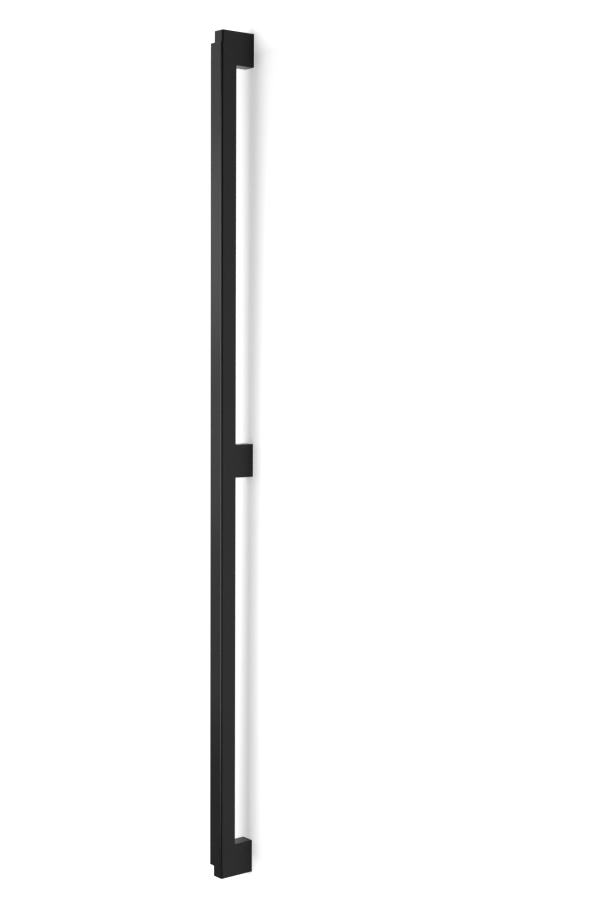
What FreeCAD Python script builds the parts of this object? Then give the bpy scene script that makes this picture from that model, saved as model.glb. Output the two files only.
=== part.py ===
import FreeCAD, Part
import math
import os
import Sketcher

# Ladder pull handle: a flat grip on a full-length spine, held off the door by three posts.
# The door is the plane y = 0, the grip faces -Y, and +Z runs up the handle from its middle.

# Driving sizes in millimetres
SIZES = {
    # spine and posts
    "overall_length": 1200,
    "spine_width": 21,
    "spine_depth": 24,
    "spine_front_round": 3,
    "post_height": 47,
    "post_reach": 31,
    "edge_break": 0.3,
    # grip: how far it stands out at each side, and stops short at each end
    "side_overhang": 4,
    "end_reveal": 17,
    "grip_thickness": 4,
    "grip_front_round": 3.5,
    # tapped hole for the door bolt, and the metal left between it and the post screws
    "door_thread": 8,
    "door_mouth_bevel": 0.8,
    "post_web": 3,
    # socket-head screws that hold each post to the spine
    "post_screw_size": 6,
    "post_screw_spacing": 13,
    "post_screw_hold": 11,
    "post_screw_tip_gap": 2,
    "post_head_width": 10,
    "post_head_height": 6,
    "post_head_recess": 1,
    "post_head_gap": 0.5,
    "post_head_cover": 2,
    "post_socket_width": 5,
    "post_socket_depth": 3,
    # countersunk screws that hold the grip to the spine
    "grip_screw_size": 4,
    "grip_screw_margin": 100,
    "grip_screw_tip_gap": 0.4,
    "grip_skin": 1,
    "grip_head_width": 8,
    "grip_head_recess": 0.2,
    "grip_socket_width": 2.5,
    "grip_socket_depth": 1.3,
    # clearances round the screws
    "shank_gap": 0.3,
    "thread_gap": 0.05,
    "tip_bevel": 0.6,
}

# How many of each repeat
POST_SIDES = {"lower_post": -1, "middle_post": 0, "upper_post": 1}
FINGER_GAPS = len(POST_SIDES) - 1
SCREWS_PER_POST = 2
SCREWS_PER_GAP = 2
COUNTERSINK_ANGLE = 90
HEX_SIDES = 6

# Sizes that follow from the driving ones
GRIP_LENGTH = "(sizes.overall_length - 2 * sizes.end_reveal)"
GRIP_HALF_WIDTH = "(sizes.spine_width / 2 + sizes.side_overhang)"
GRIP_ROUND = "min(sizes.grip_front_round; sizes.grip_thickness - sizes.edge_break)"
GRIP_THREAD_DEPTH = "(sizes.grip_thickness - sizes.grip_skin)"
GRIP_SCREW_LENGTH = (
    f"(sizes.spine_depth - sizes.grip_head_recess + {GRIP_THREAD_DEPTH} - sizes.grip_screw_tip_gap)"
)
POST_CENTRE = "((sizes.overall_length - sizes.post_height) / 2)"
POST_THREAD_DEPTH = "(sizes.post_screw_hold + sizes.post_screw_tip_gap)"
DOOR_THREAD_DEPTH = f"(sizes.post_reach - {POST_THREAD_DEPTH} - sizes.post_web)"
HEAD_SEAT_DEPTH = "(sizes.post_head_height + sizes.post_head_recess)"
POST_SCREW_LENGTH = f"(sizes.spine_depth - {HEAD_SEAT_DEPTH} + sizes.post_screw_hold)"

# The outermost post screws sit just far enough in from the grip's ends for it to cover their heads
HALF_SPACING = "(sizes.post_screw_spacing / 2)"
OUTER_SCREW = f"({GRIP_LENGTH} / 2 - sizes.post_head_cover - sizes.post_head_width / 2)"
PAIR_CENTRE = f"({OUTER_SCREW} - {HALF_SPACING})"
PAIR_OFFSET = f"({POST_CENTRE} - {PAIR_CENTRE})"

# Grip screws are spread evenly over each finger gap
GAP_LENGTH = f"((sizes.overall_length - {len(POST_SIDES)} * sizes.post_height) / {FINGER_GAPS})"
GAP_PITCH = f"(({GAP_LENGTH} - 2 * sizes.grip_screw_margin) / {SCREWS_PER_GAP - 1})"
GAP_FIRST = "(sizes.post_height / 2 + sizes.grip_screw_margin)"

# How close two places are when they count as one
NEAR = 1e-4

doc = FreeCAD.newDocument("ladder_pull_handle")
sizes = doc.addObject("Spreadsheet::Sheet", "sizes")
for row, (name, value) in enumerate(SIZES.items(), start=1):
    sizes.set(f"A{row}", name)
    sizes.set(f"B{row}", str(value))
    sizes.setAlias(f"B{row}", name)
doc.recompute()


def worked_out(expression):
    """The number that an expression gives with the sheet as it is."""
    result = sizes.evalExpression(expression)
    return float(getattr(result, "Value", result))


def new_body(label):
    """An empty sub-part that goes by its file's name."""
    body = doc.addObject("PartDesign::Body", label)
    body.Label = label
    return body


def origin_feature(body, role):
    """One of the body's own planes or axes."""
    return next(feature for feature in body.Origin.OriginFeatures if feature.Role == role)


def new_sketch(body, name, role, offset=None):
    """An empty sketch on one of the body's planes, moved along that plane's normal by an offset."""
    sketch = body.newObject("Sketcher::SketchObject", name)
    sketch.AttachmentSupport = [(origin_feature(body, role), "")]
    sketch.MapMode = "FlatFace"
    if offset:
        sketch.setExpression("AttachmentOffset.Base.z", offset)
    return sketch


def dimension(sketch, constraint, expression):
    """A dimension that follows an expression."""
    index = sketch.addConstraint(constraint)
    name = f"size_{index}"
    sketch.renameConstraint(index, name)
    sketch.setExpression(f"Constraints.{name}", expression)


def pin(sketch, geometry, point, place):
    """Hold one point of the sketch at a place given by two expressions."""
    for kind, axis, expression in zip(("DistanceX", "DistanceY"), (-2, -1), place):
        if expression == "0":
            sketch.addConstraint(Sketcher.Constraint("PointOnObject", geometry, point, axis))
        else:
            value = worked_out(expression)
            dimension(sketch, Sketcher.Constraint(kind, -1, 1, geometry, point, value), expression)


def outline(sketch, corners):
    """A closed outline of straight lines through corners given as pairs of expressions."""
    points = [FreeCAD.Vector(worked_out(x), worked_out(y), 0) for x, y in corners]
    followers = points[1:] + points[:1]
    lines = [sketch.addGeometry(Part.LineSegment(a, b)) for a, b in zip(points, followers)]
    for line, follower in zip(lines, lines[1:] + lines[:1]):
        sketch.addConstraint(Sketcher.Constraint("Coincident", line, 2, follower, 1))
    for line, corner in zip(lines, corners):
        pin(sketch, line, 1, corner)


def hexagon(sketch, across_flats):
    """A regular hexagon about the sketch's origin."""
    radius = f"({across_flats} / sqrt(3))"
    size = worked_out(radius)
    circle = sketch.addGeometry(Part.Circle(FreeCAD.Vector(), FreeCAD.Vector(0, 0, 1), size), True)
    sketch.addConstraint(Sketcher.Constraint("Coincident", circle, 3, -1, 1))
    dimension(sketch, Sketcher.Constraint("Radius", circle, size), radius)
    turns = [2 * math.pi * side / HEX_SIDES for side in range(HEX_SIDES)]
    points = [FreeCAD.Vector(size * math.cos(turn), size * math.sin(turn), 0) for turn in turns]
    lines = [sketch.addGeometry(Part.LineSegment(a, b)) for a, b in zip(points, points[1:] + points[:1])]
    for line, follower in zip(lines, lines[1:] + lines[:1]):
        sketch.addConstraint(Sketcher.Constraint("Coincident", line, 2, follower, 1))
        sketch.addConstraint(Sketcher.Constraint("PointOnObject", line, 1, circle))
    for line in lines[1:]:
        sketch.addConstraint(Sketcher.Constraint("Equal", lines[0], line))
    sketch.addConstraint(Sketcher.Constraint("PointOnObject", lines[0], 1, -1))


def bar(body, half_width, depth, length):
    """A straight bar along Z, with its back face on y = 0 and its front face at -depth."""
    sketch = new_sketch(body, f"{body.Name}_section", "XY_Plane")
    left = f"-{half_width}"
    front = f"-{depth}"
    outline(sketch, [(left, front), (half_width, front), (half_width, "0"), (left, "0")])
    pad = body.newObject("PartDesign::Pad", f"{body.Name}_bar")
    pad.Profile = sketch
    pad.SideType = "Symmetric"
    pad.setExpression("Length", length)
    doc.recompute()


def chosen_edges(shape, test):
    """Names of the edges whose two ends pass a test."""
    return [
        f"Edge{number}"
        for number, edge in enumerate(shape.Edges, start=1)
        if test(edge.firstVertex().Point, edge.lastVertex().Point)
    ]


def round_edges(body, radius, test):
    """Round the edges whose two ends pass a test."""
    base = body.Tip
    fillet = body.newObject("PartDesign::Fillet", f"{body.Name}_round")
    fillet.Base = (base, chosen_edges(base.Shape, test))
    fillet.setExpression("Radius", radius)
    doc.recompute()


def break_edges(body, test):
    """Take the sharpness off the edges whose two ends pass a test, with a small bevel."""
    base = body.Tip
    bevel = body.newObject("PartDesign::Chamfer", f"{body.Name}_edge_break")
    bevel.Base = (base, chosen_edges(base.Shape, test))
    bevel.setExpression("Size", "sizes.edge_break")
    doc.recompute()


def soften_bar(body, depth, length, front_round, flush_back=False):
    """Round a bar's front edges along its length, then break its back edges and its sawn ends.

    A bar that others meet flush from behind keeps the edges of its back face sharp.
    """
    front = -worked_out(depth)
    half_length = worked_out(length) / 2

    def lengthwise(first, last):
        return abs(first.z - last.z) > half_length

    def front_edge(first, last):
        return lengthwise(first, last) and abs(first.y - front) < NEAR

    def free_edge(first, last):
        at_back = max(abs(first.y), abs(last.y)) < NEAR
        if at_back:
            return not flush_back
        return not lengthwise(first, last)

    round_edges(body, front_round, front_edge)
    break_edges(body, free_edge)


def checked_cut(body, before):
    """Stop if the last feature took nothing away."""
    doc.recompute()
    if body.Shape.Volume >= before - NEAR:
        raise RuntimeError(f"{body.Tip.Label} cuts nothing")


def drill(body, name, heights, diameter, depth=None, from_front=None, bore=None, sink=None):
    """A row of round holes on the middle line, from the back face or from a front face at some depth."""
    before = body.Shape.Volume
    sketch = new_sketch(body, f"{body.Name}_{name}_places", "XZ_Plane", from_front)
    size = worked_out(diameter) / 2
    circles = []
    for height in heights:
        centre = FreeCAD.Vector(0, worked_out(height), 0)
        circle = sketch.addGeometry(Part.Circle(centre, FreeCAD.Vector(0, 0, 1), size))
        pin(sketch, circle, 3, ("0", height))
        circles.append(circle)
    dimension(sketch, Sketcher.Constraint("Diameter", circles[0], 2 * size), diameter)
    for circle in circles[1:]:
        sketch.addConstraint(Sketcher.Constraint("Equal", circles[0], circle))
    doc.recompute()
    hole = body.newObject("PartDesign::Hole", f"{body.Name}_{name}")
    hole.Profile = sketch
    hole.Reversed = from_front is None
    hole.DrillPoint = "Flat"
    hole.setExpression("Diameter", diameter)
    hole.DepthType = "Dimension" if depth else "ThroughAll"
    if depth:
        hole.setExpression("Depth", depth)
    if bore:
        hole.HoleCutType = "Counterbore"
        hole.setExpression("HoleCutDiameter", bore[0])
        hole.setExpression("HoleCutDepth", bore[1])
    if sink:
        hole.HoleCutType = "Countersink"
        hole.HoleCutCountersinkAngle = COUNTERSINK_ANGLE
        hole.setExpression("HoleCutDiameter", sink)
    checked_cut(body, before)


def turned_screw(label, stations, socket_width, socket_depth, from_front=None):
    """A screw turned about Y from (radius, height) stations, with a hexagon socket in its head.

    The head's top is on y = 0, facing the back, or at a depth in front of it, facing the front.
    """
    body = new_body(label)
    profile = new_sketch(body, f"{label}_profile", "XY_Plane")
    outline(profile, stations)
    turned = body.newObject("PartDesign::Revolution", f"{label}_turned")
    turned.Profile = profile
    turned.ReferenceAxis = (origin_feature(body, "Y_Axis"), [""])
    doc.recompute()
    before = body.Shape.Volume
    sketch = new_sketch(body, f"{label}_socket_outline", "XZ_Plane", from_front)
    hexagon(sketch, socket_width)
    socket = body.newObject("PartDesign::Pocket", f"{label}_socket")
    socket.Profile = sketch
    socket.Reversed = from_front is None
    socket.setExpression("Length", socket_depth)
    checked_cut(body, before)
    return body


def repeat_along_z(body, name, pitch, count):
    """Repeat the whole body up Z."""
    base = body.Tip
    solids = count * len(base.Shape.Solids)
    pattern = body.newObject("PartDesign::LinearPattern", f"{body.Name}_{name}")
    pattern.Originals = [base]
    pattern.TransformMode = "Whole shape"
    pattern.Direction = (origin_feature(body, "Z_Axis"), [""])
    pattern.Mode = "Spacing"
    pattern.Occurrences = count
    pattern.setExpression("Offset", pitch)
    body.Tip = pattern
    doc.recompute()
    if len(body.Shape.Solids) != solids:
        raise RuntimeError(f"{pattern.Label} has {len(body.Shape.Solids)} solids, not {solids}")


def place(body, y="0", z="0"):
    """Put a sub-part where it sits in the handle."""
    body.setExpression("Placement.Base.y", y)
    body.setExpression("Placement.Base.z", z)


def make_grip():
    """The flat front strip, with its large front rounds and blind tapped holes in its back."""
    body = new_body("grip_bar")
    bar(body, GRIP_HALF_WIDTH, "sizes.grip_thickness", GRIP_LENGTH)
    soften_bar(body, "sizes.grip_thickness", GRIP_LENGTH, GRIP_ROUND)
    thread = "(sizes.grip_screw_size + 2 * sizes.thread_gap)"
    drill(body, "threads", grip_screw_heights(), thread, depth=GRIP_THREAD_DEPTH)
    place(body, y="-(sizes.post_reach + sizes.spine_depth)")
    return body


def make_spine():
    """The full-length bar, counterbored in front for its posts and countersunk behind for the grip."""
    body = new_body("spine_bar")
    bar(body, "(sizes.spine_width / 2)", "sizes.spine_depth", "sizes.overall_length")
    front_round = "sizes.spine_front_round"
    soften_bar(body, "sizes.spine_depth", "sizes.overall_length", front_round, flush_back=True)
    post_shank = "(sizes.post_screw_size + 2 * sizes.shank_gap)"
    head_bore = ("(sizes.post_head_width + 2 * sizes.post_head_gap)", HEAD_SEAT_DEPTH)
    front = "sizes.spine_depth"
    drill(body, "post_screw_holes", post_screw_heights(), post_shank, from_front=front, bore=head_bore)
    grip_shank = "(sizes.grip_screw_size + 2 * sizes.shank_gap)"
    head_sink = "(sizes.grip_head_width + 2 * sizes.grip_head_recess)"
    drill(body, "grip_screw_holes", grip_screw_heights(), grip_shank, sink=head_sink)
    place(body, y="-sizes.post_reach")
    return body


def make_post(label, side):
    """One block between spine and door: side is -1 at the bottom, 0 in the middle and 1 at the top."""
    body = new_body(label)
    bar(body, "(sizes.spine_width / 2)", "sizes.post_reach", "sizes.post_height")
    joint = -worked_out("sizes.post_reach")

    def clear_of_joint(first, last):
        return max(first.y, last.y) > joint + NEAR

    break_edges(body, clear_of_joint)
    door_mouth = "(sizes.door_thread + 2 * sizes.door_mouth_bevel)"
    drill(body, "door_thread", ["0"], "sizes.door_thread", depth=DOOR_THREAD_DEPTH, sink=door_mouth)
    heights = [f"({-side} * {PAIR_OFFSET} + {end} * {HALF_SPACING})" for end in (-1, 1)]
    thread = "(sizes.post_screw_size + 2 * sizes.thread_gap)"
    drill(body, "screw_threads", heights, thread, depth=POST_THREAD_DEPTH, from_front="sizes.post_reach")
    place(body, z=f"{side} * {POST_CENTRE}")
    return body


def post_screw_heights():
    """Heights of the post screws above the handle's middle, a pair for each post."""
    return [
        f"({side} * {PAIR_CENTRE} + {end} * {HALF_SPACING})"
        for side in POST_SIDES.values()
        for end in (-1, 1)
    ]


def grip_screw_heights():
    """Heights of the grip screws above the handle's middle, mirrored about it."""
    return [
        f"({side} * ({GAP_FIRST} + {number} * {GAP_PITCH}))"
        for side in (-1, 1)
        for number in range(SCREWS_PER_GAP)
    ]


def make_post_screws():
    """Socket-head screws from the spine into the posts, each head on the floor of its counterbore."""
    head = "(sizes.post_head_width / 2)"
    top = "sizes.post_head_height"
    shank = "(sizes.post_screw_size / 2)"
    stations = [
        ("0", f"-{top}"),
        (head, f"-{top}"),
        (head, "0"),
        (shank, "0"),
        (shank, f"({POST_SCREW_LENGTH} - sizes.tip_bevel)"),
        (f"({shank} - sizes.tip_bevel)", POST_SCREW_LENGTH),
        ("0", POST_SCREW_LENGTH),
    ]
    body = turned_screw("post_screws", stations, "sizes.post_socket_width", "sizes.post_socket_depth", top)
    repeat_along_z(body, "pair", "sizes.post_screw_spacing", SCREWS_PER_POST)
    repeat_along_z(body, "posts", PAIR_CENTRE, len(POST_SIDES))
    seat = f"-(sizes.post_reach + sizes.spine_depth - {HEAD_SEAT_DEPTH})"
    place(body, y=seat, z=f"-{OUTER_SCREW}")
    return body


def make_grip_screws():
    """Countersunk screws from the spine into the grip, each head on the slope of its countersink."""
    head = "(sizes.grip_head_width / 2)"
    shank = "(sizes.grip_screw_size / 2)"
    stations = [
        ("0", "0"),
        (head, "0"),
        (shank, f"-({head} - {shank})"),
        (shank, f"-({GRIP_SCREW_LENGTH} - sizes.tip_bevel)"),
        (f"({shank} - sizes.tip_bevel)", f"-{GRIP_SCREW_LENGTH}"),
        ("0", f"-{GRIP_SCREW_LENGTH}"),
    ]
    body = turned_screw("grip_screws", stations, "sizes.grip_socket_width", "sizes.grip_socket_depth")
    repeat_along_z(body, "row", GAP_PITCH, SCREWS_PER_GAP)
    repeat_along_z(body, "gaps", POST_CENTRE, FINGER_GAPS)
    lowest = f"-({GAP_FIRST} + {SCREWS_PER_GAP - 1} * {GAP_PITCH})"
    place(body, y="-(sizes.post_reach + sizes.grip_head_recess)", z=lowest)
    return body


def check(parts):
    """Stop if any object failed or any sub-part has no sound shape."""
    for thing in doc.Objects:
        if {"Invalid", "Error"} & set(thing.State):
            raise RuntimeError(f"{thing.Label} failed: {thing.State}")
    for body in parts:
        if body.Shape.isNull() or not body.Shape.isValid():
            raise RuntimeError(f"{body.Label} has no valid shape")


parts = [make_grip(), make_spine()]
parts += [make_post(label, side) for label, side in POST_SIDES.items()]
parts += [make_post_screws(), make_grip_screws()]
doc.recompute()
check(parts)

os.makedirs("parts", exist_ok=True)
for body in parts:
    body.Shape.exportStep(f"parts/{body.Label}.step")
    print(f"{body.Label}: solids {len(body.Shape.Solids)}, volume {body.Shape.Volume:.1f} mm3")
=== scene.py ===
import math

import bmesh
import bpy
from mathutils import Matrix, Vector


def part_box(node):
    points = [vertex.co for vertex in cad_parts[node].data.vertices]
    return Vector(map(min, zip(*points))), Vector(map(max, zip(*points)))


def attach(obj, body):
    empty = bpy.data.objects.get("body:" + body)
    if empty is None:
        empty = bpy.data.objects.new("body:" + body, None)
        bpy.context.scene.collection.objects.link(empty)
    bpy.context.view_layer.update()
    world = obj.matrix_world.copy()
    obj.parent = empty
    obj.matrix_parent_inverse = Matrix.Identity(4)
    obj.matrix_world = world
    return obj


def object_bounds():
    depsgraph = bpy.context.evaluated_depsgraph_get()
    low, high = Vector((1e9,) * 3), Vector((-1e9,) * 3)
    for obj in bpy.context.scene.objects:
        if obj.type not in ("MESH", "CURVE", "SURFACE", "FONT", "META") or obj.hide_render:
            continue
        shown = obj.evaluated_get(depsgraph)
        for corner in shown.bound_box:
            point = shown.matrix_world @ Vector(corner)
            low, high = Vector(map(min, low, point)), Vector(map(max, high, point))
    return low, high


# Ladder pull handle: looks, stage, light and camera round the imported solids.
# Metres throughout. The door is the plane y = 0, the grip faces -Y and +Z is up.

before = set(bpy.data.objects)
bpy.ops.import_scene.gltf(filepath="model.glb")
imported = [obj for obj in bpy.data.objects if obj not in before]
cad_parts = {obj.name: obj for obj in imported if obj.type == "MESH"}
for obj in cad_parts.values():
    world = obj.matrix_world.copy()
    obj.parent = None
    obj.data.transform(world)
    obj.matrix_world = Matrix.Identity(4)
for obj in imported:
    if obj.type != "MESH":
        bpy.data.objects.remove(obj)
cad_low, cad_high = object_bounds()

WHITE = (1, 1, 1, 1)
NONE_TO_ALL = (0, 1)

# Camera, at the photograph's viewing angle
CAMERA_PLACE = Vector((1.7988, -1.3412, 0.1676))
CAMERA_YAW = math.radians(51.42)
CAMERA_PITCH = math.radians(-3.919)
CAMERA_ROLL = math.radians(0.273)
CAMERA_LENS_MM = 62.646
SENSOR_MM = 36

# Stage: a wall just behind the posts, which is open where they stand and sweeps round into a floor
POSTS = ("lower_post", "middle_post", "upper_post")
POST_COLUMN = 1
WALL_GAP = 0.0003
WALL_HALF_WIDTH = 3.0
WALL_TOP = 3.0
SWEEP_RADIUS = 0.5
SWEEP_STEPS = 16
FLOOR_LEVEL = -1.6
FLOOR_FRONT = -1.4
STAGE_COLOUR = (0.8, 0.8, 0.8, 1)

# How far the stage glows towards white: evenly in reflections and for the camera, and then further
# with the distance to the handle's side and past its ends, which is painted light: it pales the outer part of
# the handle's shadow on the wall and clears that shadow past the handle's ends
MIRROR_LIFT = 0.08
CAMERA_LIFT = 0.33
ASIDE_DISTANCE = (0.02, 1.0)
ASIDE_PAINTED_LIGHT = (0, 0.8)
END_BLEND = 0.03
END_PAINTED_LIGHT = (0, 0.5)

# Surround: white behind the handle, and dark in front of it as a studio is
AMBIENT = 0.1
SURROUND_EDGE = (-0.3, 0.3)

# Key: a tall soft light straight ahead, which leans to one side
KEY_AZIMUTH = math.radians(-3.5)
KEY_ELEVATION = math.radians(-3)
KEY_DISTANCE = 1.0
KEY_SIZE = (0.7, 1.5)
KEY_LEAN = math.radians(28)
KEY_RADIANCE = 4.1

# Card: a tall soft light on the left, in tiles of their own height and radiance
CARD_AZIMUTH = math.radians(-52)
CARD_DISTANCE = 1.5
CARD_TILE_SIZE = (1.0, 0.45)
CARD_TILES = ((-0.95, 0.23), (-0.5, 0.54), (-0.05, 0.92), (0.4, 1.57), (0.85, 1.04))

# Surfaces: tones are dark and pale, a drift is its scale, a grain is its scale and strength
GRAIN_DETAIL = 3
GRAIN_DEPTH = 0.0001
DRIFT_DETAIL = 4

# Satin black powder coat, a little smoother on the grip
COAT_TONES = ((0.006, 0.006, 0.0062, 1), (0.009, 0.009, 0.0094, 1))
COAT_GRAIN = (1800, 0.12)
COAT_SPECULAR = 0.33
GRIP_ROUGHNESS = (0.21, 0.27)
GRIP_DRIFT = 14
FRAME_ROUGHNESS = (0.24, 0.3)
FRAME_DRIFT = 11

# Black oxide on the steel screws
STEEL_TONES = ((0.04, 0.04, 0.042, 1), (0.07, 0.07, 0.074, 1))
STEEL_GRAIN = (4000, 0.2)
STEEL_ROUGHNESS = (0.32, 0.48)
STEEL_DRIFT = 300

# Bare aluminium where a thread is cut through the coat
ALUMINIUM_TONES = ((0.45, 0.45, 0.46, 1), (0.6, 0.6, 0.61, 1))
ALUMINIUM_GRAIN = (5000, 0.15)
ALUMINIUM_ROUGHNESS = (0.25, 0.38)
ALUMINIUM_DRIFT = 600

# M8 thread in each door bore: a ridge on the bore's wall
THREAD_PITCH = 0.00125
THREAD_ROOT_RADIUS = 0.00397
THREAD_CREST_RADIUS = 0.00340
THREAD_ROOT_WIDTH = 0.00105
THREAD_CREST_WIDTH = 0.00025
THREAD_START = -0.0016
THREAD_TURNS = 10
STEPS_PER_TURN = 24


def shader(owner, kind, **inputs):
    """A node of the given kind in a material or world, with some of its sockets set."""
    node = owner.node_tree.nodes.new(kind)
    for name, value in inputs.items():
        node.inputs[name.replace("_", " ")].default_value = value
    return node


def maths(owner, operation, first, second=0):
    """The outcome of one operation on sockets or numbers."""
    node = shader(owner, "ShaderNodeMath")
    node.operation = operation
    for socket, value in zip(node.inputs, (first, second)):
        if isinstance(value, bpy.types.NodeSocket):
            owner.node_tree.links.new(value, socket)
        else:
            socket.default_value = value
    return node.outputs["Value"]


def fade(owner, value, before, after):
    """A value carried from one range to another, and held at its ends."""
    node = shader(
        owner, "ShaderNodeMapRange",
        From_Min=before[0], From_Max=before[1], To_Min=after[0], To_Max=after[1],
    )
    owner.node_tree.links.new(value, node.inputs["Value"])
    return node.outputs["Result"]


def new_material(name):
    """An empty material made of nodes, with its output."""
    material = bpy.data.materials.new(name)
    material.use_nodes = True
    material.node_tree.nodes.clear()
    output = shader(material, "ShaderNodeOutputMaterial")
    return material, output


def surface(name, tones, roughness, drift_scale, grain, **inputs):
    """A surface with fine grain and a slow drift of gloss and tone."""
    material, output = new_material(name)
    link = material.node_tree.links.new
    grain_scale, grain_strength = grain
    place = shader(material, "ShaderNodeTexCoord")
    paint = shader(material, "ShaderNodeBsdfPrincipled", **inputs)
    bumps = shader(material, "ShaderNodeTexNoise", Scale=grain_scale, Detail=GRAIN_DETAIL)
    drift = shader(material, "ShaderNodeTexNoise", Scale=drift_scale, Detail=DRIFT_DETAIL)
    relief = shader(material, "ShaderNodeBump", Strength=grain_strength, Distance=GRAIN_DEPTH)
    tone = shader(material, "ShaderNodeValToRGB")
    for stop, colour in zip(tone.color_ramp.elements, tones):
        stop.color = colour
    for texture in (bumps, drift):
        link(place.outputs["Object"], texture.inputs["Vector"])
    gloss = fade(material, drift.outputs["Fac"], NONE_TO_ALL, roughness)
    link(drift.outputs["Fac"], tone.inputs["Fac"])
    link(bumps.outputs["Fac"], relief.inputs["Height"])
    link(tone.outputs["Color"], paint.inputs["Base Color"])
    link(gloss, paint.inputs["Roughness"])
    link(relief.outputs["Normal"], paint.inputs["Normal"])
    link(paint.outputs["BSDF"], output.inputs["Surface"])
    return material


def stage_lift(material):
    """How much the stage shines by itself, for the camera and in reflections, with painted light that grows
    away from the handle's side and past its ends.
    """
    path = shader(material, "ShaderNodeLightPath").outputs
    place = shader(material, "ShaderNodeNewGeometry")
    split = shader(material, "ShaderNodeSeparateXYZ")
    material.node_tree.links.new(place.outputs["Position"], split.inputs["Vector"])
    across = maths(material, "ABSOLUTE", split.outputs["X"])
    along = maths(material, "ABSOLUTE", split.outputs["Z"])
    end = (cad_high.z - END_BLEND, cad_high.z + END_BLEND)
    # Painted light: the stage glows more with the distance to the handle's side and past its ends, which
    # pales the handle's shadow there
    painted_light_aside = fade(material, across, ASIDE_DISTANCE, ASIDE_PAINTED_LIGHT)
    painted_light_past_ends = fade(material, along, end, END_PAINTED_LIGHT)
    lift = maths(material, "ADD", maths(material, "MAXIMUM", painted_light_aside, painted_light_past_ends), CAMERA_LIFT)
    seen = maths(material, "MULTIPLY", path["Is Camera Ray"], lift)
    bounced = maths(material, "MAXIMUM", path["Is Glossy Ray"], path["Is Transmission Ray"])
    mirrored = maths(material, "MULTIPLY", bounced, MIRROR_LIFT)
    return maths(material, "ADD", seen, mirrored)


def stage_paint():
    """Pale matt paint that is lifted towards white, and clear from behind."""
    material, output = new_material("stage_paint")
    material.cycles.emission_sampling = "NONE"
    link = material.node_tree.links.new
    paint = shader(material, "ShaderNodeBsdfDiffuse", Color=STAGE_COLOUR)
    glow = shader(material, "ShaderNodeEmission")
    front = shader(material, "ShaderNodeAddShader")
    side = shader(material, "ShaderNodeNewGeometry")
    clear = shader(material, "ShaderNodeBsdfTransparent")
    mix = shader(material, "ShaderNodeMixShader")
    link(stage_lift(material), glow.inputs["Strength"])
    link(paint.outputs["BSDF"], front.inputs[0])
    link(glow.outputs["Emission"], front.inputs[1])
    link(side.outputs["Backfacing"], mix.inputs["Fac"])
    link(front.outputs["Shader"], mix.inputs[1])
    link(clear.outputs["BSDF"], mix.inputs[2])
    link(mix.outputs["Shader"], output.inputs["Surface"])
    return material


def stage_profile(posts):
    """The stage's section as (y, z): the floor's front edge, the sweep, and the wall past each post."""
    profile = [(FLOOR_FRONT, FLOOR_LEVEL)]
    for step in range(SWEEP_STEPS + 1):
        turn = math.pi / 2 * step / SWEEP_STEPS
        y = WALL_GAP - SWEEP_RADIUS * (1 - math.sin(turn))
        z = FLOOR_LEVEL + SWEEP_RADIUS * (1 - math.cos(turn))
        profile.append((y, z))
    for low, high in posts:
        profile += [(WALL_GAP, low.z), (WALL_GAP, high.z)]
    profile.append((WALL_GAP, WALL_TOP))
    return profile


def make_stage():
    """Wall, sweep and floor in one sheet, open behind each post."""
    posts = [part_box(name) for name in POSTS]
    columns = [-WALL_HALF_WIDTH, posts[0][0].x, posts[0][1].x, WALL_HALF_WIDTH]
    sheet = bmesh.new()
    rows = [[sheet.verts.new((x, y, z)) for x in columns] for y, z in stage_profile(posts)]
    behind_posts = {(low.z, high.z) for low, high in posts}
    for lower, upper in zip(rows, rows[1:]):
        for column in range(len(columns) - 1):
            if column == POST_COLUMN and (lower[0].co.z, upper[0].co.z) in behind_posts:
                continue
            sheet.faces.new((lower[column], lower[column + 1], upper[column + 1], upper[column]))
    mesh = bpy.data.meshes.new("stage")
    sheet.to_mesh(mesh)
    sheet.free()
    stage = bpy.data.objects.new("stage", mesh)
    bpy.context.scene.collection.objects.link(stage)
    mesh.materials.append(stage_paint())


def towards(azimuth, elevation):
    """A direction from the handle, by its azimuth to the right of straight ahead and its elevation."""
    level = math.cos(elevation)
    return Vector((math.sin(azimuth) * level, -math.cos(azimuth) * level, math.sin(elevation)))


def soft_light(name, azimuth, elevation, distance, size, lean, radiance):
    """A rectangular soft light that faces the handle's middle."""
    data = bpy.data.lights.new(name, "AREA")
    data.shape = "RECTANGLE"
    data.size, data.size_y = size
    data.energy = radiance * math.pi * data.size * data.size_y
    light = bpy.data.objects.new(name, data)
    way = towards(azimuth, elevation)
    turn = way.to_track_quat("Z", "Y").to_matrix() @ Matrix.Rotation(lean, 3, "Z")
    light.matrix_world = Matrix.Translation(way * distance) @ turn.to_4x4()
    light.visible_camera = False
    bpy.context.scene.collection.objects.link(light)


def make_lights():
    """The key straight ahead, and the card's tiles one above the other."""
    soft_light("key", KEY_AZIMUTH, KEY_ELEVATION, KEY_DISTANCE, KEY_SIZE, KEY_LEAN, KEY_RADIANCE)
    for number, (height, radiance) in enumerate(CARD_TILES):
        elevation = math.atan2(height, CARD_DISTANCE)
        distance = math.hypot(height, CARD_DISTANCE)
        soft_light(f"card_{number}", CARD_AZIMUTH, elevation, distance, CARD_TILE_SIZE, 0, radiance)


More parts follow.
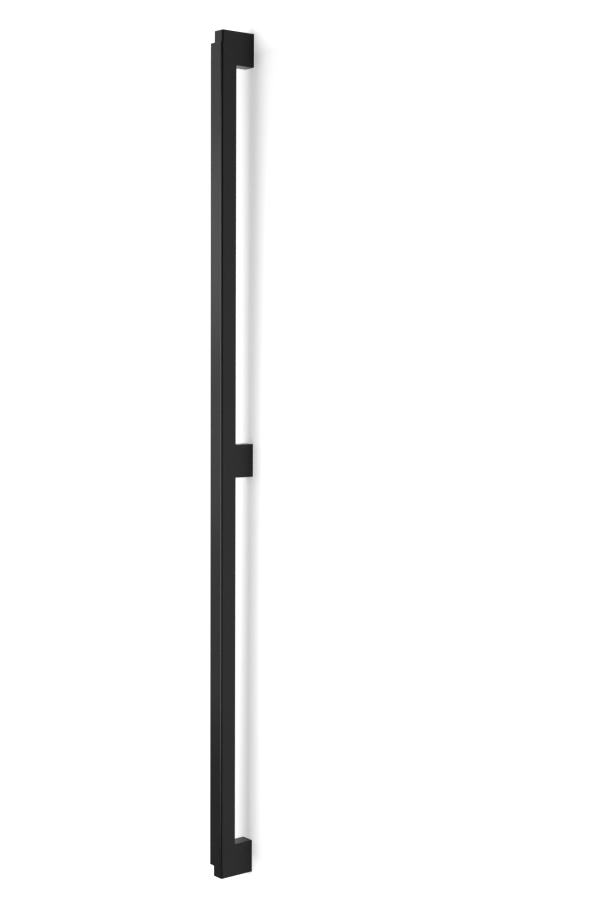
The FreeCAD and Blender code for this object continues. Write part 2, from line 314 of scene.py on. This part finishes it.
def make_world():
    """A little even light for matt surfaces, and a white surround that glossy ones see behind the handle."""
    world = bpy.data.worlds.new("studio")
    world.use_nodes = True
    world.cycles.sampling_method = "NONE"
    world.node_tree.nodes.clear()
    link = world.node_tree.links.new
    output = shader(world, "ShaderNodeOutputWorld")
    path = shader(world, "ShaderNodeLightPath").outputs
    place = shader(world, "ShaderNodeTexCoord")
    split = shader(world, "ShaderNodeSeparateXYZ")
    surround = shader(world, "ShaderNodeBackground", Color=WHITE)
    link(place.outputs["Generated"], split.inputs["Vector"])
    behind = fade(world, split.outputs["Y"], SURROUND_EDGE, NONE_TO_ALL)
    seen = maths(world, "MAXIMUM", path["Is Camera Ray"], path["Is Transmission Ray"])
    mirrored = maths(world, "MULTIPLY", path["Is Glossy Ray"], behind)
    matt = maths(world, "MULTIPLY", path["Is Diffuse Ray"], AMBIENT)
    level = maths(world, "MAXIMUM", maths(world, "MAXIMUM", seen, mirrored), matt)
    link(level, surround.inputs["Strength"])
    link(surround.outputs["Background"], output.inputs["Surface"])
    bpy.context.scene.world = world


def make_camera():
    """The photograph's camera."""
    data = bpy.data.cameras.new("camera")
    data.lens = CAMERA_LENS_MM
    data.sensor_width = SENSOR_MM
    camera = bpy.data.objects.new("camera", data)
    forward = Vector((
        -math.sin(CAMERA_YAW) * math.cos(CAMERA_PITCH),
        math.cos(CAMERA_YAW) * math.cos(CAMERA_PITCH),
        math.sin(CAMERA_PITCH),
    ))
    turn = forward.to_track_quat("-Z", "Y").to_matrix() @ Matrix.Rotation(CAMERA_ROLL, 3, "Z")
    camera.matrix_world = Matrix.Translation(CAMERA_PLACE) @ turn.to_4x4()
    bpy.context.scene.collection.objects.link(camera)
    bpy.context.scene.camera = camera


def thread_mesh():
    """One closed helical ridge round the Y axis, running in from the door face."""
    ridge = bmesh.new()
    profile = (
        (THREAD_ROOT_RADIUS, -THREAD_ROOT_WIDTH / 2),
        (THREAD_CREST_RADIUS, -THREAD_CREST_WIDTH / 2),
        (THREAD_CREST_RADIUS, THREAD_CREST_WIDTH / 2),
        (THREAD_ROOT_RADIUS, THREAD_ROOT_WIDTH / 2),
    )
    rings = []
    for step in range(THREAD_TURNS * STEPS_PER_TURN + 1):
        turn = 2 * math.pi * step / STEPS_PER_TURN
        middle = THREAD_START - THREAD_PITCH * step / STEPS_PER_TURN
        rings.append([
            ridge.verts.new((radius * math.cos(turn), middle + offset, radius * math.sin(turn)))
            for radius, offset in profile
        ])
    for first, second in zip(rings, rings[1:]):
        for corner in range(len(profile)):
            after = (corner + 1) % len(profile)
            ridge.faces.new((first[corner], first[after], second[after], second[corner]))
    ridge.faces.new(rings[0])
    ridge.faces.new(rings[-1])
    bmesh.ops.recalc_face_normals(ridge, faces=ridge.faces)
    mesh = bpy.data.meshes.new("door_thread")
    ridge.to_mesh(mesh)
    ridge.free()
    return mesh


def make_threads():
    """The thread that a tap leaves in the door bore of each post."""
    mesh = thread_mesh()
    mesh.materials.append(surface(
        "bare_aluminium", ALUMINIUM_TONES, ALUMINIUM_ROUGHNESS, ALUMINIUM_DRIFT, ALUMINIUM_GRAIN, Metallic=1,
    ))
    for post in ("upper", "middle", "lower"):
        low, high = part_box(f"{post}_post")
        thread = bpy.data.objects.new(f"{post}_thread", mesh)
        thread.location.z = (low.z + high.z) / 2
        bpy.context.scene.collection.objects.link(thread)
        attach(thread, "root")


def dress_solids():
    """Coat on the grip, spine and posts, and black oxide on the screws."""
    grip_coat = surface(
        "satin_grip", COAT_TONES, GRIP_ROUGHNESS, GRIP_DRIFT, COAT_GRAIN, Specular_IOR_Level=COAT_SPECULAR,
    )
    frame_coat = surface(
        "satin_frame", COAT_TONES, FRAME_ROUGHNESS, FRAME_DRIFT, COAT_GRAIN, Specular_IOR_Level=COAT_SPECULAR,
    )
    screw_steel = surface(
        "black_oxide", STEEL_TONES, STEEL_ROUGHNESS, STEEL_DRIFT, STEEL_GRAIN, Metallic=1,
    )
    looks = {"grip_bar": grip_coat, "post_screws": screw_steel, "grip_screws": screw_steel}
    for name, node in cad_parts.items():
        node.material_slots[0].material = looks.get(name, frame_coat)


dress_solids()
make_threads()
make_stage()
make_world()
make_camera()
make_lights()
bpy.context.scene.view_settings.view_transform = "Standard"
